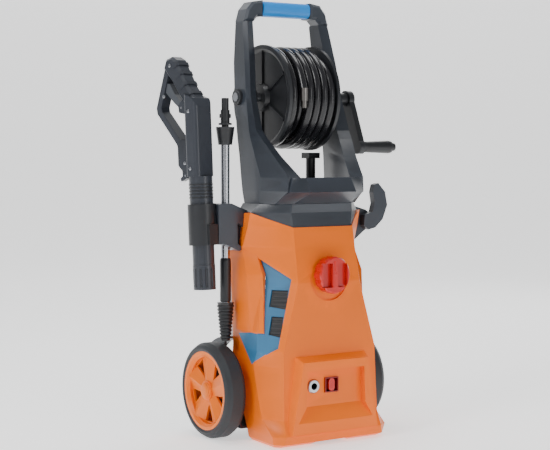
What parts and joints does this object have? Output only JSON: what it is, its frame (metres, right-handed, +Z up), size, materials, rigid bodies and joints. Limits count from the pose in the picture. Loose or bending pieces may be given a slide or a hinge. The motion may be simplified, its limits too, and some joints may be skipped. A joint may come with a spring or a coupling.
{
  "type": "pressure washer",
  "caption": "Upright electric pressure washer on wheels with a crank hose reel, looped handle, side-holstered spray gun and clipped lance.",
  "frame": {"origin": "on the floor, in the middle of the whole machine outline in plan", "axes": "+Z up, +X from the gun side to the crank side, -Y the front with the selector knob"},
  "size_m": [0.496, 0.295, 0.892],
  "materials": {
    "black_plastic": "fine-grained moulded plastic",
    "blue_grip": "soft-touch plastic",
    "blue_panel": "satin moulded plastic",
    "brass": "turned",
    "bright_steel": "polished",
    "capacitor_white": "smooth",
    "cast_aluminium": "as cast",
    "dark_frame": "fine-grained moulded plastic",
    "dark_red": "gloss moulded plastic",
    "foot_rubber": "matt rubber",
    "gun_plastic": "fine-grained moulded plastic",
    "hose_rubber": "smooth rubber",
    "orange_rim": "satin moulded plastic",
    "orange_shell": "satin moulded plastic",
    "red_plastic": "gloss moulded plastic",
    "steel": "turned",
    "trigger_grey": "satin moulded plastic",
    "tyre_rubber": "matt rubber"
  },
  "bodies": {
    "root": {"front_shell": "orange_shell", "rear_shell": "dark_frame", "side_insert_left": "blue_panel", "side_insert_right": "blue_panel", "base_tray": "dark_frame", "foot_pads": "foot_rubber", "inlet_bezel": "orange_shell", "water_inlet": "bright_steel", "button_socket": "dark_red", "switch_box": "black_plastic", "frame_front": "dark_frame", "frame_left": "dark_frame", "frame_right": "dark_frame", "grip_sleeve": "blue_grip", "grip_core": "steel", "top_deck": "dark_frame", "reel_bearings": "black_plastic", "reel_posts": "black_plastic", "axle": "steel", "motor_housing": "cast_aluminium", "motor_skirt": "black_plastic", "pump_block": "cast_aluminium", "pump_pistons": "steel", "pump_head": "cast_aluminium", "inlet_pipe": "hose_rubber", "outlet_pipe": "steel", "capacitor": "capacitor_white", "cord_gland": "black_plastic", "holster": "black_plastic", "holder_arm": "dark_frame", "hook_base": "dark_frame"},
    "wheel_left": {"tyre_left": "tyre_rubber", "wheel_rim_left": "orange_rim"},
    "wheel_right": {"tyre_right": "tyre_rubber", "wheel_rim_right": "orange_rim"},
    "reel": {"reel_shaft": "steel", "reel_drum": "black_plastic", "reel_flange_left": "black_plastic", "reel_flange_right": "black_plastic", "hose_coil": "hose_rubber", "hose_fitting": "brass", "crank_arm": "black_plastic"},
    "crank_handle": {"crank_knob": "black_plastic"},
    "selector": {"selector_knob": "red_plastic"},
    "button": {"power_button": "red_plastic"},
    "rotor": {"motor_rotor": "steel", "cooling_fan": "black_plastic", "swash_plate": "steel"},
    "gun": {"gun_shell_left": "gun_plastic", "gun_shell_right": "gun_plastic", "gun_barrel": "gun_plastic", "muzzle_socket": "gun_plastic", "gun_pins": "bright_steel"},
    "trigger": {"trigger_lever": "trigger_grey"},
    "latch": {"safety_latch": "gun_plastic"},
    "lance": {"lance_tube": "bright_steel", "lance_nipple": "black_plastic", "lance_collar": "black_plastic"},
    "nozzle": {"turbo_nozzle": "black_plastic"},
    "hook": {"cable_hook": "dark_frame"}
  },
  "joints": [
    {"name": "wheel_left_spin", "type": "hinge", "parent": "root", "child": "wheel_left", "pos_m": [-0.173, 0.0415, 0.0975], "axis": [1, 0, 0], "continuous": true},
    {"name": "wheel_right_spin", "type": "hinge", "parent": "root", "child": "wheel_right", "pos_m": [0.173, 0.0415, 0.0975], "axis": [1, 0, 0], "continuous": true},
    {"name": "reel_spin", "type": "hinge", "parent": "root", "child": "reel", "pos_m": [0, 0.0345, 0.693], "axis": [1, 0, 0], "continuous": true},
    {"name": "crank_handle_spin", "type": "hinge", "parent": "reel", "child": "crank_handle", "pos_m": [0.2, -0.0095, 0.592], "axis": [1, 0, 0], "continuous": true},
    {"name": "selector_turn", "type": "hinge", "parent": "root", "child": "selector", "pos_m": [0, -0.128, 0.337], "axis": [0, 1, 0], "range_deg": [0, 90]},
    {"name": "button_press", "type": "slide", "parent": "root", "child": "button", "axis": [0, 1, 0], "range_m": [0, 0.004], "stiffness_N_per_m": 300},
    {"name": "rotor_spin", "type": "hinge", "parent": "root", "child": "rotor", "pos_m": [0, -0.012, 0.27], "axis": [0, 0, 1], "continuous": true},
    {"name": "gun_lift", "type": "slide", "parent": "root", "child": "gun", "axis": [-0.0109, 0.0512, 0.9986], "range_m": [0, 0.175]},
    {"name": "trigger_pull", "type": "hinge", "parent": "gun", "child": "trigger", "pos_m": [-0.22093, 0.06521, 0.66982], "axis": [0.9781, 0.2079, 0], "range_deg": [0, 10], "stiffness_Nm_per_rad": 1.5},
    {"name": "latch_turn", "type": "hinge", "parent": "gun", "child": "latch", "pos_m": [-0.21934, 0.05776, 0.53403], "axis": [0.9781, 0.2079, 0], "range_deg": [-25, 0]},
    {"name": "lance_unclip", "type": "slide", "parent": "root", "child": "lance", "axis": [0, 1, 0], "range_m": [0, 0.06]},
    {"name": "nozzle_turn", "type": "hinge", "parent": "lance", "child": "nozzle", "pos_m": [-0.157, 0.0195, 0.24], "axis": [0, 0, 1], "range_deg": [0, 90]},
    {"name": "hook_turn", "type": "hinge", "parent": "root", "child": "hook", "pos_m": [0.188, 0.0195, 0.44], "axis": [0, 1, 0], "range_deg": [0, 180]}
  ]
}
